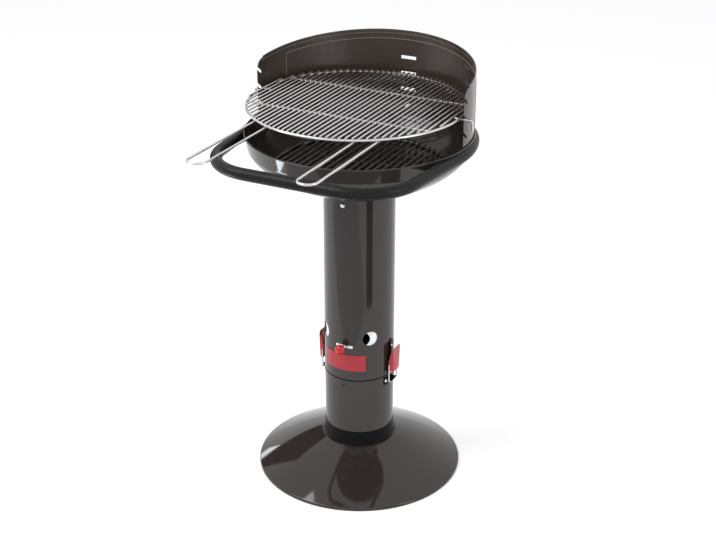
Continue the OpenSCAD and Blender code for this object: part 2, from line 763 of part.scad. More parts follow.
module windscreen() color([0.15, 0.14, 0.14]) {
    lap = 1.5;
    lap_deg = 0.35;
    hem_lap = 0.1;
    panel_z0 = rim_z + 14;
    slot_reach = 40;
    corner_shift = 0.4;
    difference() {
        union() {
            difference() {
                curved_plate(screen_in, screen_t, 90, screen_half, screen_z0, screen_z1);
                difference() {
                    curved_plate(screen_in - 1, screen_t + 2, 90,
                        panel_half - lap_deg, panel_z0 + lap, screen_z1);
                    above_arch(panel_down + lap, far);
                }
            }
            difference() {
                curved_plate(screen_in + panel_depth, screen_t, 90, panel_half, panel_z0, screen_z1);
                above_arch(panel_down, far);
            }
            intersection() {
                curved_plate(screen_in - screen_t, screen_t + hem_lap, 90,
                    screen_half, end_z - far / 10, screen_z1);
                above_arch(hem_w, hem_w + 1);
            }
        }
        above_arch(0, far);
        along_x(2 * far) difference() {
            translate([end_y - 1, end_z - screen_corner]) square([screen_corner + 1, screen_corner + 12]);
            translate([end_y + screen_corner - corner_shift, end_z - screen_corner])
                circle(r = screen_corner);
        }
        for (i = steps) {
            translate([-rear_slot_w / 2, screen_r - slot_reach / 2, slot_low + i * step_h])
                cube([rear_slot_w, slot_reach, rear_slot_h]);
            along_x(2 * far) translate([hook_y, hook_z + i * step_h]) rotate(180 - notch_slope) union() {
                circle(r = notch_r);
                translate([0, -notch_r]) square([30, 2 * notch_r]);
            }
        }
    }
}

// Cooking grid: a ring under parallel bars
grid_r = screen_in - grid_gap;
ring_mid = grid_r - ring_wire;
module grid_ring() color([0.88, 0.88, 0.9]) {
    translate([0, -grid_forward, grid_z]) rotate_extrude($fn = 120)
        translate([ring_mid, 0]) circle(r = ring_wire);
}

module grid_bars() color([0.88, 0.88, 0.9]) {
    translate([0, -grid_forward, 0])
        rods(bar_wire, ring_mid, bar_pitch, grid_z + ring_wire + bar_wire + weld, 1.5);
}

module grid_cross_wires() color([0.88, 0.88, 0.9]) {
    half = sqrt(pow(ring_mid - ring_wire - weld, 2) - pow(cross_y + ring_wire, 2));
    for (s = [-1, 1]) translate([-half, s * cross_y - grid_forward, grid_z])
        rotate([0, 90, 0]) cylinder(r = ring_wire, h = 2 * half);
}

// U of wire lying flat: two legs along Y and a half-round end towards -Y
module wire_loop(wire, middle, width, y0, y1) {
    bend = width / 2 - wire;
    for (s = [-1, 1]) translate([middle + s * bend, y0, 0])
        rotate([90, 0, 0]) cylinder(r = wire, h = y0 - y1 - width / 2);
    translate([middle, y1 + width / 2, 0]) rotate([0, 0, 180])
        rotate_extrude(angle = 180) translate([bend, 0]) circle(r = wire);
}

module grid_handle(side) color([0.9, 0.9, 0.92]) {
    translate([0, -grid_forward, grid_z - 2 * ring_wire - weld])
        wire_loop(ring_wire, side * grip_x, grip_w, grip_in - grid_r, -grid_r - grip_out);
}

// Side hooks: from under the ring through the notches, then down outside the windscreen
module grid_side_hooks() color([0.88, 0.88, 0.9]) {
    bend = 6;
    hook_in = 14;
    tip_x = screen_r + hook_out;
    start_x = ring_mid - hook_in;
    for (side = [-1, 1]) on_side(side) translate([0, hook_y, hook_z]) {
        translate([start_x, 0, 0]) rotate([0, 90, 0]) cylinder(r = bar_wire, h = tip_x - bend - start_x);
        translate([tip_x - bend, 0, -bend]) rotate([90, 0, 0])
            rotate_extrude(angle = 90) translate([bend, 0]) circle(r = bar_wire);
        translate([tip_x, 0, -hook_down]) cylinder(r = bar_wire, h = hook_down - bend);
    }
}

// Rear tongue: a U of wire under the ring whose tip enters a slot of the windscreen
module grid_rear_hook() color([0.88, 0.88, 0.9]) {
    side_room = 3.5;
    tongue_in = 30;
    tongue_out = 2.3;
    translate([0, 0, hook_z]) rotate([0, 0, 180])
        wire_loop(bar_wire, 0, rear_slot_w - 2 * side_room,
            grid_forward + tongue_in - ring_mid, -screen_r - tongue_out);
}

base_dish();
foot_collar();
base_nuts();
ash_pot();
column_tube();
vent_sleeve();
vent_knob_stem();
vent_knob();
label_plate();
latch_bracket(-1);  // latch_bracket_left
latch_bracket(1);  // latch_bracket_right
latch_pin(-1);  // latch_pin_left
latch_pin(1);  // latch_pin_right
latch_lever(-1);  // latch_lever_left
latch_lever(1);  // latch_lever_right
latch_bail(-1);  // latch_bail_left
latch_bail(1);  // latch_bail_right
pot_catch(-1);  // pot_catch_left
pot_catch(1);  // pot_catch_right
latch_rivets();
catch_rivets();
bowl();
bowl_socket();
bowl_bolts();
bowl_nuts();
handle_loop();
handle_screws();
fire_grate_ring();
fire_grate_bars();
windscreen();
grid_ring();
grid_bars();
grid_cross_wires();
grid_handle(-1);  // grid_handle_left
grid_handle(1);  // grid_handle_right
grid_side_hooks();
grid_rear_hook();
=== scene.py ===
import math
import bmesh
import bpy
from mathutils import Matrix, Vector


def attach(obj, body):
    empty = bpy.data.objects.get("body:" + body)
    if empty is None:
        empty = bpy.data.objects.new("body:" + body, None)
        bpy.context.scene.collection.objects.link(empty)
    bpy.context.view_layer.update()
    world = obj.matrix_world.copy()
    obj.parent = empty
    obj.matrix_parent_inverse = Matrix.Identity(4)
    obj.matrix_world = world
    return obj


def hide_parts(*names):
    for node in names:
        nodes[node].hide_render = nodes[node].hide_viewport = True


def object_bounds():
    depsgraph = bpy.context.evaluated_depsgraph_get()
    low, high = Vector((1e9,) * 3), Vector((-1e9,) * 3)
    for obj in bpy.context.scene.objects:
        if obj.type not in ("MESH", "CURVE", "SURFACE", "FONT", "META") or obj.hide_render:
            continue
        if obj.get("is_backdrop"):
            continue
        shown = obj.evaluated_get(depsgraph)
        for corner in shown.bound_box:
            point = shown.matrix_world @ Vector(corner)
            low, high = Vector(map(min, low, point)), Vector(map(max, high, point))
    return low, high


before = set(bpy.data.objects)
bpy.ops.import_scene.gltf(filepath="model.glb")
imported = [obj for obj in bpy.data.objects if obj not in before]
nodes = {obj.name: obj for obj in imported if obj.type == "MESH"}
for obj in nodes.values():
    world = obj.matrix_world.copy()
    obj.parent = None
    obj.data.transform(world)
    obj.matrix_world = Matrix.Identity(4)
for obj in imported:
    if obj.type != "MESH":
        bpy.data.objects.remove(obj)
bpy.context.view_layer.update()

# Dished foot: a steel sheet pressed to a shallow bulging cone, with its edge turned down and
# folded in to stand on, and enamelled in a dark brown-grey. The pot stands on its flat top.


class Wire:
    """An output of a shader node: arithmetic on it adds Math nodes, and add() any other node."""

    def __init__(self, tree, socket=None):
        self.tree = tree
        self.socket = socket

    def add(self, kind, inputs, output=0, **settings):
        node = self.tree.nodes.new("ShaderNode" + kind)
        for name, value in settings.items():
            setattr(node, name, value)
        by_name = {socket.name: socket for socket in reversed(node.inputs)}
        by_name.update({socket.identifier: socket for socket in node.inputs})
        for name, value in inputs.items():
            if isinstance(value, Wire):
                self.tree.links.new(value.socket, by_name[name])
            else:
                by_name[name].default_value = value
        outputs = {socket.identifier: socket for socket in node.outputs}
        if output is not None:
            return Wire(self.tree, node.outputs[output] if output == 0 else outputs[output])

    def math(self, operation, first, second):
        return self.add("Math", {"Value": first, "Value_001": second}, operation=operation)

    def __add__(self, other):
        return self.math("ADD", self, other)

    def __radd__(self, other):
        return self.math("ADD", other, self)

    def __mul__(self, other):
        return self.math("MULTIPLY", self, other)

    def __rmul__(self, other):
        return self.math("MULTIPLY", other, self)


def emptied(owner):
    """The start of a new node tree for a material or a world."""
    owner.use_nodes = True
    owner.node_tree.nodes.clear()
    return Wire(owner.node_tree)


def finish(name, colour, roughness, tone=0.12, patch=9.0, grain=300.0, relief=0.01, **constants):
    """A painted or metal surface: cloudy tone and gloss, and a fine grain in its relief."""
    paint = bpy.data.materials.new(name)
    start = emptied(paint)
    place = start.add("TexCoord", {}, "Object")
    cloud = start.add(
        "TexNoise", {"Vector": place, "Scale": patch, "Detail": 4.0, "Roughness": 0.6})
    smudge = start.add("TexNoise", {"Vector": place, "Scale": patch * 5, "Detail": 5.0})
    ripple = start.add("TexNoise", {"Vector": place, "Scale": grain, "Detail": 2.0})
    dark = tuple(part * (1 - tone) for part in colour) + (1.0,)
    light = tuple(part * (1 + tone) for part in colour) + (1.0,)
    tint = start.add(
        "Mix", {"Factor_Float": cloud, "A_Color": dark, "B_Color": light},
        "Result_Color", data_type="RGBA")
    bump = start.add("Bump", {"Strength": relief, "Distance": 0.001, "Height": ripple})
    gloss = roughness * (0.75 + (cloud + smudge) * 0.25)
    shine = start.add(
        "BsdfPrincipled", {"Base Color": tint, "Roughness": gloss, "Normal": bump, **constants})
    start.add("OutputMaterial", {"Surface": shine}, None)
    return paint


def eased(corners, steps=6):
    """The (radius, height) profile through corners, each rounded to its third number."""
    profile = []
    for i, (radius, height, rounding) in enumerate(corners):
        corner = Vector((radius, height))
        if rounding == 0:
            profile.append((radius, height))
            continue
        back = (Vector(corners[i - 1][:2]) - corner).normalized()
        ahead = (Vector(corners[(i + 1) % len(corners)][:2]) - corner).normalized()
        half = back.angle(ahead) / 2
        middle = corner + (back + ahead).normalized() * rounding / math.sin(half)
        first = corner + back * rounding / math.tan(half) - middle
        last = corner + ahead * rounding / math.tan(half) - middle
        turn = math.atan2(first.cross(last), first.dot(last))
        for step in range(steps + 1):
            angle = math.atan2(first.y, first.x) + turn * step / steps
            point = middle + rounding * Vector((math.cos(angle), math.sin(angle)))
            profile.append((point.x, point.y))
    return profile


def turned(name, profile, around=144):
    """Turns a closed profile about Z: a circle is extruded and scaled from point to point."""
    bpy.ops.object.select_all(action="DESELECT")
    radius, height = profile[0]
    bpy.ops.mesh.primitive_circle_add(vertices=around, radius=radius, location=(0, 0, height))
    piece = bpy.context.object
    piece.name = name
    bpy.ops.object.transform_apply(location=True, rotation=False, scale=False)
    bpy.ops.object.mode_set(mode="EDIT")
    for wider, higher in profile[1:] + profile[:1]:
        bpy.ops.mesh.extrude_region_move(TRANSFORM_OT_translate={"value": (0, 0, higher - height)})
        bpy.ops.transform.resize(
            value=(wider / radius, wider / radius, 1), center_override=(0, 0, 0))
        radius, height = wider, higher
    bpy.ops.mesh.select_all(action="SELECT")
    bpy.ops.mesh.remove_doubles(threshold=1e-6)
    bpy.ops.mesh.normals_make_consistent(inside=False)
    bpy.ops.object.mode_set(mode="OBJECT")
    bpy.ops.object.shade_smooth_by_angle(angle=math.radians(40))
    true = piece.modifiers.new("true_normals", "WEIGHTED_NORMAL")
    true.keep_sharp = True
    bpy.ops.object.modifier_apply(modifier=true.name)
    return piece


def dress(paint, slot, body, piece, *stood_for):
    """Gives a new piece its finish and its body, in the place of CAD nodes. The slot is not used.
    """
    piece.data.materials.append(paint)
    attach(piece, body)
    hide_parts(*stood_for)


def paint_nodes(paint, *names):
    """Gives CAD nodes a finish."""
    for name in names:
        for place in nodes[name].material_slots:
            place.material = paint


enamel = finish("enamel", (0.031, 0.0245, 0.022), 0.07, tone=0.1, grain=160.0, relief=0.008)

FOOT_R, FOOT_RISE, FOOT_SHEET, FOOT_HOLE_R = 0.237, 0.077, 0.0015, 0.028
FOLD_IN_R, FOLD_ROUND, FOLD_UP, FOLD_UP_IN, SHOULDER_ROUND = 0.229, 0.0006, 0.0059, 0.0048, 0.004
SKIRT_R, SKIRT_LOW, SKIRT_CROWN, SKIRT_FROM, SKIRT_STEPS = 0.235, 0.007, 0.016, 0.02, 40
FOOT_TOP_R = 0.0843


def skirt(t, drop):
    """Place on the bulging cone, from the turned-down edge (0) to the flat top (1)."""
    height = SKIRT_LOW + (FOOT_RISE - SKIRT_LOW) * t + SKIRT_CROWN * t * (1 - t)
    return (SKIRT_R + (FOOT_TOP_R - SKIRT_R) * t, height - drop, 0)


climb = [SKIRT_FROM + (1 - SKIRT_FROM) * i / SKIRT_STEPS for i in range(SKIRT_STEPS + 1)]
outside = [skirt(t, 0) for t in climb]
inside = [skirt(t, FOOT_SHEET) for t in climb[:-1]]
foot = turned("foot_dish", eased(
    [(FOLD_IN_R, 0.0, 0), (FOOT_R, 0.0, FOLD_ROUND), (FOOT_R, FOLD_UP, SHOULDER_ROUND)] + outside
    + [(FOOT_HOLE_R, FOOT_RISE, 0), (FOOT_HOLE_R, FOOT_RISE - FOOT_SHEET, 0)]
    + [(FOOT_TOP_R - FOOT_SHEET, FOOT_RISE - FOOT_SHEET, 0)] + inside[::-1]
    + [(FOOT_R - FOOT_SHEET, FOLD_UP_IN, 0), (FOOT_R - FOOT_SHEET, FOOT_SHEET, 0)]
    + [(FOLD_IN_R, FOOT_SHEET, 0)]), around=192)
dress(enamel, "enamel", "stand", foot, "base_dish")

# Flared collar: a turned steel ring, painted black, that hides the seam between pot and dish.
# Three flanged nuts under the dish hold the pot's studs.
COLLAR_IN, COLLAR_LIP, COLLAR_SWEEP, COLLAR_H = 0.07955, 0.0008, 0.00395, 0.034
COLLAR_ROUND, COLLAR_STEPS = 0.0003, 24
flare = []
for i in range(COLLAR_STEPS + 1):
    angle = math.radians(90 * i / COLLAR_STEPS)
    out = COLLAR_IN + COLLAR_LIP + COLLAR_SWEEP * (1 - math.sin(angle))
    flare.append((out, FOOT_RISE + COLLAR_H * (1 - math.cos(angle)), 0))
flare[-1] = (*flare[-1][:2], COLLAR_ROUND)
collar = turned("foot_collar_ring", eased(
    [(COLLAR_IN, FOOT_RISE, 0)] + flare + [(COLLAR_IN, FOOT_RISE + COLLAR_H, 0)]))
black_paint = finish(
    "black_paint", (0.005, 0.005, 0.005), 0.12, relief=0.006, **{"Specular IOR Level": 0.07})
dress(black_paint, "black_paint", "stand", collar, "foot_collar")
zinc = finish("zinc", (0.80, 0.80, 0.82), 0.22, Metallic=1.0)
paint_nodes(zinc, "base_nuts")

# Ash pot and column: two deep tubes of enamelled sheet, one standing in the other's foot. The
# column has four round vents and a slot for the vent's knob. The black ring at the joint is painted
# shade.
paint_nodes(enamel, "ash_pot", "column_tube")
# Painted shade: this near-black rough ring stands for the shadow in the thin gap where pot and
# column meet. It is not a real cord.
SEAM_SHADE_IN, SEAM_SHADE_OUT, SEAM_SHADE_LOW, SEAM_SHADE_HIGH, SEAM_SHADE_ROUND = 0.0785, 0.0806, 0.2444, 0.2472, 0.0009
seam_shade_ring = turned("joint_painted_shade", eased([
    (SEAM_SHADE_IN, SEAM_SHADE_LOW, 0), (SEAM_SHADE_OUT, SEAM_SHADE_LOW, SEAM_SHADE_ROUND), (SEAM_SHADE_OUT, SEAM_SHADE_HIGH, SEAM_SHADE_ROUND),
    (SEAM_SHADE_IN, SEAM_SHADE_HIGH, 0)]))
painted_seam_shade = finish(
    "painted_seam_shade", (0.003, 0.003, 0.003), 0.8, tone=0.3, grain=1500.0, relief=0.2,
    **{"Specular IOR Level": 0.1})
dress(painted_seam_shade, "black_paint", "stand", seam_shade_ring)

# Vent sleeve: a tube of bright zinc-coated sheet that turns inside the column. Its crystals show
# as soft patches. The stem of the red knob is fixed to it and runs in the slot.
galvanised = bpy.data.materials.new("galvanised")
start = emptied(galvanised)
place = start.add("TexCoord", {}, "Object")
crystal = start.add("TexVoronoi", {"Vector": place, "Scale": 110.0}, "Color")
shade = start.add("SeparateColor", {"Color": crystal})
dull, bright = (0.74, 0.75, 0.78, 1), (0.92, 0.92, 0.93, 1)
tint = start.add(
    "Mix", {"Factor_Float": shade, "A_Color": dull, "B_Color": bright},
    "Result_Color", data_type="RGBA")
shine = start.add(
    "BsdfPrincipled", {"Base Color": tint, "Roughness": 0.22 + shade * 0.2, "Metallic": 1.0})
start.add("OutputMaterial", {"Surface": shine}, None)
paint_nodes(galvanised, "vent_sleeve")
paint_nodes(zinc, "vent_knob_stem")

# Knob: glossy red plastic, moulded with a waist behind and a full round front. It is pressed on
# the stem, and its blind bore ends inside the round front.
KNOB_R, KNOB_LEN, KNOB_BACK, KNOB_Z = 0.0115, 0.017, 0.089, 0.3306
BORE_R, BORE_END, NOSE_R, NOSE_TURN = 0.0031, 0.012, 0.00005, 88
WAIST_R, WAIST_Z, WAIST_ROUND, SHOULDER, WAIST_STEPS, NOSE_STEPS = (
    0.00713, 0.0027, 0.0006, 0.0071, 12, 16)
knob_profile = [(BORE_R, 0.0, 0), (WAIST_R, 0.0, WAIST_ROUND)]
for i in range(WAIST_STEPS + 1):
    angle = math.radians(90 * i / WAIST_STEPS)
    knob_profile.append((
        WAIST_R + (KNOB_R - WAIST_R) * math.sin(angle),
        WAIST_Z + (SHOULDER - WAIST_Z) * (1 - math.cos(angle)), 0))
for i in range(1, NOSE_STEPS + 1):
    angle = math.radians(NOSE_TURN * i / NOSE_STEPS)
    knob_profile.append((
        KNOB_R * math.cos(angle), SHOULDER + (KNOB_LEN - SHOULDER) * math.sin(angle), 0))
knob_profile += [(NOSE_R, KNOB_LEN, 0), (NOSE_R, BORE_END, 0), (BORE_R, BORE_END, 0)]
knob = turned("knob_head", eased(knob_profile), around=64)
knob.rotation_euler = (math.pi / 2, 0, 0)
knob.location = (0, -KNOB_BACK, KNOB_Z)
bpy.ops.object.transform_apply(location=True, rotation=True, scale=False)
knob_red = finish("knob_red", (0.62, 0.008, 0.014), 0.1, tone=0.04, relief=0.004)
dress(knob_red, "knob_red", "vent", knob, "vent_knob")

# Label plate: a thin metal plate, bent to the column's front, coated red and left bare.
# It lies flat on the enamel under the knob.
label_red = finish("label_red", (0.50, 0.014, 0.028), 0.24, tone=0.06, relief=0.006)
paint_nodes(label_red, "label_plate")

# Latch brackets and catches: folded black steel, one of each on either side. A bracket's two ears
# hold the lever's pin, and a catch's tongue holds the bail. Rivets fix them to the tubes.
paint_nodes(
    black_paint, "latch_bracket_left", "latch_bracket_right", "pot_catch_left", "pot_catch_right")

# Levers: red sheet folded to a channel, its two flanges hung on the pin and tapering to the head.
# The plate leans out a little, its corners are cut, its folds are round, and the flanges are
# drilled for the pin and the bail's ends, with running clearance.
red_paint = finish("red_paint", (0.52, 0.012, 0.026), 0.2, tone=0.08, relief=0.01)
LEVER_X, LEVER_IN, LEVER_Z, LEVER_TOP = 0.0941, 0.0828, 0.2525, 0.318
LEVER_W, LEVER_T, LEVER_LEAN, LEVER_LIP, LEVER_SHARP = 0.036, 0.0015, 1.75, 0.0008, 35
PLATE_LOW, LIP_Z, CORNER_R, CORNER_TURNS = 0.256, 0.313, 0.011, (15, 38, 62)
FOLD_R, FOLD_FROM, HAIR = 0.0025, 0.012, 0.001
PIVOT, HUB_R, HUB_TURNS, PIN_HOLE_R = Vector((0.088, 0, 0.258)), 0.0055, (-50, -130), 0.00225
BAIL_END, BAIL_HOLE_R = Vector((0.08605, 0, 0.27388)), 0.00175
TAPER_FOOT, TAPER_OUT = Vector((LEVER_IN, 0, 0.2785)), Vector((-0.0395, 0, 0.0077)).normalized()


def pick(piece, kind, rule):
    """Selects the faces, edges or vertices that keep a rule, in the mesh being edited."""
    bpy.ops.mesh.select_all(action="DESELECT")
    shape = bmesh.from_edit_mesh(piece.data)
    for part in getattr(shape, kind):
        if rule(part):
            part.select_set(True)
    bmesh.update_edit_mesh(piece.data)


def cut(foot, out, clear=True):
    """Cuts the mesh being edited by a plane, and clears what lies beyond it."""
    bpy.ops.mesh.select_all(action="SELECT")
    bpy.ops.mesh.bisect(plane_co=foot, plane_no=out, clear_outer=clear)


bpy.ops.object.select_all(action="DESELECT")
bpy.ops.mesh.primitive_cube_add(
    size=1.0, location=((LEVER_X + LEVER_IN) / 2, 0, (LEVER_Z + LEVER_TOP) / 2),
    scale=(LEVER_X - LEVER_IN, LEVER_W, LEVER_TOP - LEVER_Z))
lever = bpy.context.object
lever.name = "lever_right"
bpy.ops.object.transform_apply(location=True, rotation=False, scale=True)
bpy.ops.object.mode_set(mode="EDIT")
pick(lever, "faces", lambda face: face.normal.x < -0.5 or abs(face.normal.z) > 0.5)
bpy.ops.mesh.delete(type="ONLY_FACE")
cut((0, 0, LIP_Z), (0, 0, 1), clear=False)
cut((0, 0, PLATE_LOW), (0, 0, 1), clear=False)
pick(lever, "faces", lambda face: face.normal.x > 0.5 and face.calc_center_median().z < PLATE_LOW)
bpy.ops.mesh.delete(type="FACE")
cut(TAPER_FOOT, TAPER_OUT)
for turn in HUB_TURNS:
    out = Vector((math.cos(math.radians(turn)), 0, math.sin(math.radians(turn))))
    cut(PIVOT + out * HUB_R, out)
for side in (1, -1):
    corner = Vector((0, side * (LEVER_W / 2 - CORNER_R), LEVER_TOP - CORNER_R))
    for turn in CORNER_TURNS:
        out = Vector((0, side * math.cos(math.radians(turn)), math.sin(math.radians(turn))))
        cut(corner + out * CORNER_R, out)
pick(lever, "verts", lambda vertex: vertex.co.z > LIP_Z + HAIR)
bpy.ops.transform.translate(value=(LEVER_LIP, 0, 0))
bpy.ops.mesh.select_all(action="SELECT")
bpy.ops.transform.rotate(
    value=math.radians(-LEVER_LEAN), orient_axis="Y", center_override=PIVOT)
pick(lever, "edges", lambda edge: (
    len(edge.link_faces) == 2 and abs(edge.verts[0].co.y) > FOLD_FROM
    and abs(edge.verts[0].co.z - edge.verts[1].co.z) > HAIR))
bpy.ops.mesh.bevel(offset=FOLD_R, segments=4)
bpy.ops.mesh.select_all(action="SELECT")
bpy.ops.mesh.normals_make_consistent(inside=False)
bpy.ops.object.mode_set(mode="OBJECT")
sheet = lever.modifiers.new("sheet", "SOLIDIFY")
sheet.thickness = LEVER_T
sheet.offset = -1.0
bpy.ops.object.modifier_apply(modifier=sheet.name)
for middle, hole_r in ((PIVOT, PIN_HOLE_R), (BAIL_END, BAIL_HOLE_R)):
    bpy.ops.object.select_all(action="DESELECT")
    bpy.ops.mesh.primitive_cylinder_add(
        vertices=32, radius=hole_r, depth=2 * LEVER_W, rotation=(math.pi / 2, 0, 0),
        location=middle)
    drill = bpy.context.object
    bpy.ops.object.select_all(action="DESELECT")
    lever.select_set(True)
    bpy.context.view_layer.objects.active = lever
    hole = lever.modifiers.new("hole", "BOOLEAN")
    hole.operation = "DIFFERENCE"
    hole.object = drill
    bpy.ops.object.modifier_apply(modifier=hole.name)
    bpy.data.objects.remove(drill)
bpy.ops.object.shade_smooth_by_angle(angle=math.radians(LEVER_SHARP))
bpy.ops.object.duplicate()
left_lever = bpy.context.object
left_lever.name = "lever_left"
bpy.ops.object.mode_set(mode="EDIT")
bpy.ops.mesh.select_all(action="SELECT")
bpy.ops.transform.mirror(constraint_axis=(True, False, False), center_override=(0, 0, 0))
bpy.ops.mesh.normals_make_consistent(inside=False)
bpy.ops.object.mode_set(mode="OBJECT")
dress(red_paint, "red_paint", "lever_right", lever, "latch_lever_right")
dress(red_paint, "red_paint", "lever_left", left_lever, "latch_lever_left")

# Latch pins, rivets and bails: bright zinc-coated pins through the ears, domed rivets in the tubes,
# and a bail of chromed wire hung in each lever, which hooks under the catch's tongue.
paint_nodes(zinc, "latch_pin_left", "latch_pin_right", "latch_rivets", "catch_rivets")
chrome = finish(
    "wire_chrome", (0.68, 0.65, 0.66), 0.2, tone=0.08, patch=30.0, relief=0.02, Metallic=1.0)
paint_nodes(chrome, "latch_bail_left", "latch_bail_right")

# Bowl: one deep pressing in enamelled steel, with a flat floor, a rounded dish, a steep wall and
# its edge rolled over. A socket under it stands in the column, held by three dome-headed bolts.
BOWL_FLOOR, BOWL_SHEET, MOUTH_R, FLOOR_R = 0.706, 0.0015, 0.064, 0.110
DISH_H, DISH_ROUND, DISH_FROM, DISH_STEPS = 0.085, 4 / 3, 3.0, 48
CREASE_R, CREASE_Z, CREASE_UP, CREASE_ROUND = 0.2435, 0.791, 0.0001, 0.004
WALL_TOP_R, WALL_TOP_IN_R, WALL_STOP, WALL_STOP_IN, RIM_Z = 0.25025, 0.24842, 0.0012, 0.0014, 0.820
ROLL_R, ROLL_IN, ROLL_FROM, ROLL_TURN, ROLL_STEPS = 0.0016, 0.00125, 235, 270, 18


def dish(angle, inset):
    """Place on the dish, from the foot of the wall (0) to the flat floor (90)."""
    reach = CREASE_R - FLOOR_R - inset
    return (
        FLOOR_R + reach * math.cos(math.radians(angle)) ** DISH_ROUND,
        CREASE_Z - (DISH_H - inset) * math.sin(math.radians(angle)) ** DISH_ROUND, 0)


wall_lean = (WALL_TOP_R - CREASE_R) / (RIM_Z - CREASE_Z)
dish_turns = [(90 - DISH_FROM) * i / DISH_STEPS for i in range(DISH_STEPS + 1)]
bowl_out = [(WALL_TOP_R - WALL_STOP * wall_lean, RIM_Z - WALL_STOP, 0)]
bowl_out += [(CREASE_R, CREASE_Z + CREASE_UP, CREASE_ROUND)]
bowl_out += [dish(DISH_FROM + turn, 0.0) for turn in dish_turns] + [(MOUTH_R, BOWL_FLOOR, 0)]
bowl_in = [(MOUTH_R, BOWL_FLOOR + BOWL_SHEET, 0)]
bowl_in += [dish(90.0 - turn, BOWL_SHEET) for turn in dish_turns]
bowl_in += [(CREASE_R - BOWL_SHEET, CREASE_Z + CREASE_UP, CREASE_ROUND)]
bowl_in += [(WALL_TOP_IN_R, RIM_Z - WALL_STOP_IN, 0)]
roll = []
for i in range(ROLL_STEPS + 1):
    angle = math.radians(ROLL_FROM - ROLL_TURN * i / ROLL_STEPS)
    roll.append((
        WALL_TOP_R - ROLL_IN + ROLL_R * math.cos(angle), RIM_Z + ROLL_R * math.sin(angle), 0))
bowl = turned("bowl_pressing", eased(bowl_out + bowl_in + roll), around=240)
dress(enamel, "enamel", "stand", bowl, "bowl")
paint_nodes(black_paint, "bowl_socket")
paint_nodes(zinc, "bowl_bolts", "bowl_nuts", "handle_screws")

# Handle: one steel tube bent to a closed loop round the bowl, with a matt black coat. It lies on
# the bowl's wall under the rolled edge, where screws hold it.
handle_coat = finish(
    "handle_coat", (0.006, 0.006, 0.0065), 0.4, tone=0.3, grain=900.0, relief=0.05,
    **{"Specular IOR Level": 0.22})
paint_nodes(handle_coat, "handle_loop")

# Fire grate: a ring and parallel bars of bare steel wire, welded, and dulled by heat. It lies loose
# on the bowl's dish.
grate_steel = finish("grate_steel", (0.34, 0.32, 0.31), 0.36, tone=0.4, patch=24.0, Metallic=1.0)
paint_nodes(grate_steel, "fire_grate_ring", "fire_grate_bars")

# Windscreen: a bent sheet with a folded top edge, a pressed panel, three slots at the back and
# three notches at each end, enamelled as the bowl is. It drops into the bowl's mouth.
SCREEN_IN, SCREEN_OUT, SCREEN_TOP, SCREEN_ARCH = 0.2455, 0.2467, 0.979, 0.0324
PANEL_HALF, PANEL_LOW, PANEL_DOWN, PANEL_WIRE = 69, 0.8356, 0.021, 0.0009
HEM_HALF, HEM_LOW, HEM_DOWN, HEM_WIRE, HEM_IN = 88, 0.92, 0.0078, 0.0007, 0.0008
screen_enamel = finish(
    "enamel_screen", (0.052, 0.038, 0.032), 0.2, tone=0.1, grain=160.0, relief=0.008)
paint_nodes(screen_enamel, "windscreen")
# Painted highlight: the beads along the pressed panel's edge and under the folded top edge get an
# enamel much lighter than the screen's, to stand for the light caught along these edges.
painted_highlight_enamel = finish("enamel_painted_highlight", (0.20, 0.175, 0.155), 0.25, tone=0.1, relief=0.01)
arch_lean = math.atan(SCREEN_ARCH / SCREEN_OUT)
arch_up = Vector((0, -math.sin(arch_lean), math.cos(arch_lean)))
arch_foot = Vector((0, 0, SCREEN_TOP - SCREEN_ARCH))
for name, radius, half, low, down, thick in (
        ("panel_bead", SCREEN_IN, PANEL_HALF, PANEL_LOW, PANEL_DOWN, PANEL_WIRE),
        ("hem_bead", SCREEN_IN - HEM_IN, HEM_HALF, HEM_LOW, HEM_DOWN, HEM_WIRE)):
    side = math.radians(half)
    bpy.ops.object.select_all(action="DESELECT")
    bpy.ops.mesh.primitive_cylinder_add(
        vertices=288, radius=radius, depth=SCREEN_TOP - low, end_fill_type="NOTHING",
        location=(0, 0, (SCREEN_TOP + low) / 2))
    bead = bpy.context.object
    bead.name = name
    bpy.ops.object.transform_apply(location=True, rotation=False, scale=False)
    bpy.ops.object.mode_set(mode="EDIT")
    cut(arch_foot - arch_up * down, arch_up)
    cut((0, 0, 0), (math.cos(side), -math.sin(side), 0))
    cut((0, 0, 0), (-math.cos(side), -math.sin(side), 0))
    bpy.ops.mesh.select_all(action="SELECT")
    bpy.ops.mesh.region_to_loop()
    bpy.ops.mesh.select_all(action="INVERT")
    bpy.ops.mesh.delete(type="EDGE_FACE")
    if name == "hem_bead":
        pick(bead, "verts", lambda vertex: (vertex.co - arch_foot).dot(arch_up) < -down - 1e-5)
        bpy.ops.mesh.delete(type="VERT")
    bpy.ops.object.mode_set(mode="OBJECT")
    bpy.ops.object.convert(target="CURVE")
    bead.data.bevel_depth = thick
    bead.data.bevel_resolution = 2
    bead.data.use_fill_caps = True
    bpy.ops.object.convert(target="MESH")
    bpy.ops.object.shade_smooth()
    dress(painted_highlight_enamel, "enamel", "screen", bead)

# Cooking grid: welded and chromed wire, with two long handles. Its side hooks hang in the
# windscreen's notches, and its rear tongue in the middle slot.
paint_nodes(
    chrome, "grid_ring", "grid_bars", "grid_cross_wires", "grid_handle_left", "grid_handle_right",
    "grid_side_hooks", "grid_rear_hook")

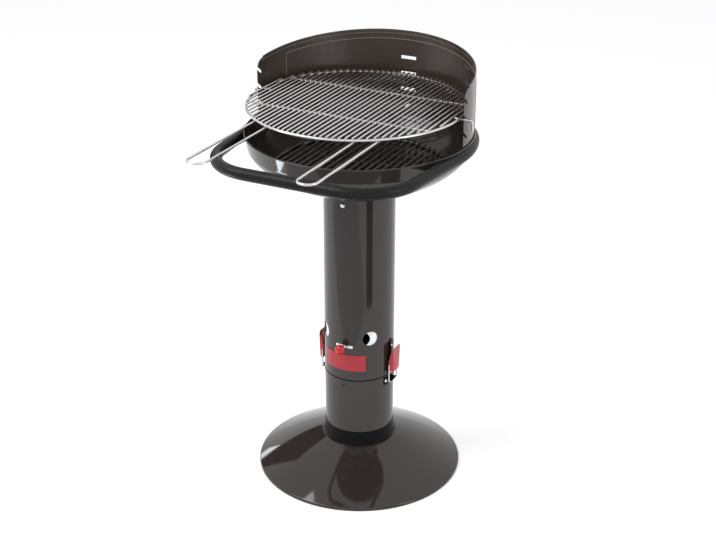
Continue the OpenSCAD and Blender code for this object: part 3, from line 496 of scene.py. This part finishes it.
# Studio: a pale floor under an even white sky. The sky lights less than it shows, and the floor
# glows a little, so that both look white while the contact shadow stays.
SKY_FILL, FLOOR_GLOW, FLOOR_SIZE, FLOOR_DROP = 0.62, 0.36, 16.0, 0.0002
sky = bpy.data.worlds.new("studio_sky")
bpy.context.scene.world = sky
start = emptied(sky)
seen = start.add("LightPath", {}, "Is Camera Ray")
glossy = start.add("LightPath", {}, "Is Glossy Ray")
through = start.add("LightPath", {}, "Is Transmission Ray")
white = start.math("MAXIMUM", start.math("MAXIMUM", seen, glossy), through)
backdrop = start.add(
    "Background", {"Color": (1, 1, 1, 1), "Strength": SKY_FILL + white * (1 - SKY_FILL)})
start.add("OutputWorld", {"Surface": backdrop}, None)

bpy.ops.object.select_all(action="DESELECT")
bpy.ops.mesh.primitive_plane_add(size=FLOOR_SIZE, location=(0, 0, -FLOOR_DROP))
floor = bpy.context.object
floor.name = "studio_floor"
floor_paint = bpy.data.materials.new("studio_floor")
start = emptied(floor_paint)
seen = start.add("LightPath", {}, "Is Camera Ray")
glossy = start.add("LightPath", {}, "Is Glossy Ray")
matt = start.add("BsdfDiffuse", {"Color": (0.93, 0.93, 0.94, 1.0)})
direct = start.math("MAXIMUM", seen, glossy)
glow = start.add("Emission", {"Color": (1, 1, 1, 1), "Strength": direct * FLOOR_GLOW})
both = start.add("AddShader", {"Shader": matt, "Shader_001": glow})
start.add("OutputMaterial", {"Surface": both}, None)
floor.data.materials.append(floor_paint)
floor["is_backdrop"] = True


def card(name, place, aim, size, shine):
    """A flat card that only the reflections show: a dark flag or a bright box."""
    bpy.ops.object.select_all(action="DESELECT")
    bpy.ops.mesh.primitive_plane_add(size=1.0, location=place)
    sheet = bpy.context.object
    sheet.name = name
    sheet.scale = (*size, 1.0)
    sheet.rotation_euler = (Vector(aim) - Vector(place)).to_track_quat("Z", "Y").to_euler()
    paint = bpy.data.materials.new(name)
    lit = emptied(paint)
    lit.add("OutputMaterial", {
        "Surface": lit.add("Emission", {"Color": (*shine, 1.0), "Strength": 1.0})}, None)
    sheet.data.materials.append(paint)
    for ray in ("camera", "diffuse", "transmission", "volume_scatter", "shadow"):
        setattr(sheet, "visible_" + ray, False)
    sheet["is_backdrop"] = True


# What the enamel mirrors: flags for the column's dark band, the foot's left side and the bowl's
# wall, a darker ground in front and two bright boxes.
card("flag_column", (0.806, -0.504, 0.2), (0, 0, 0.2), (0.33, 0.4), (0.12, 0.115, 0.11))
card("flag_foot", (-1.32, 0.70, 0.86), (0, 0, 0.2), (0.75, 0.72), (0.10, 0.09, 0.08))
card("ground_front", (-0.4, -1.75, 0.001), (-0.4, -1.75, 1.0), (2.2, 2.1), (0.85, 0.86, 0.90))
card("flag_bowl", (0.12, -0.45, 0.585), (0.05, -0.24, 0.81), (0.50, 0.09), (0.34, 0.33, 0.33))
card("box_bowl", (-0.417, -0.395, 0.53), (-0.054, -0.241, 0.81), (0.12, 0.06), (11.0, 11.5, 12.0))
card("box_foot", (-1.9, 0.92, 0.57), (-0.185, -0.115, 0.016), (0.24, 0.16), (6.0, 6.0, 6.0))


def soft_lamp(name, place, aim, size, power):
    """A wide area lamp that points at a spot."""
    data = bpy.data.lights.new(name, "AREA")
    data.shape = "RECTANGLE"
    data.size, data.size_y = size
    data.energy = power
    lamp = bpy.data.objects.new(name, data)
    bpy.context.scene.collection.objects.link(lamp)
    lamp.location = place
    lamp.rotation_euler = (Vector(aim) - Vector(place)).to_track_quat("-Z", "Y").to_euler()


soft_lamp("key_lamp", (-1.6, -1.4, 2.9), (0, 0, 0.6), (1.6, 1.6), 42.0)
soft_lamp("side_lamp", (2.6, -0.4, 1.7), (0, 0, 0.7), (0.8, 1.6), 14.0)

# Camera: a long lens, from the front and 27 degrees to the right, looking down on the grill. Its
# place and lens come from the photo's circles and the upright column.
CAMERA_PLACE, CAMERA_TILT, CAMERA_TURN = (1.3213, -2.6004, 1.8311), 65.267, 27.0
LENS, SENSOR_W = 71.672, 36.0
camera_data = bpy.data.cameras.new("camera")
camera_data.sensor_width = SENSOR_W
camera_data.lens = LENS
camera = bpy.data.objects.new("camera", camera_data)
bpy.context.scene.collection.objects.link(camera)
camera.location = CAMERA_PLACE
camera.rotation_euler = (math.radians(CAMERA_TILT), 0.0, math.radians(CAMERA_TURN))
bpy.context.scene.camera = camera
bpy.context.scene.view_settings.view_transform = "Standard"

low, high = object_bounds()
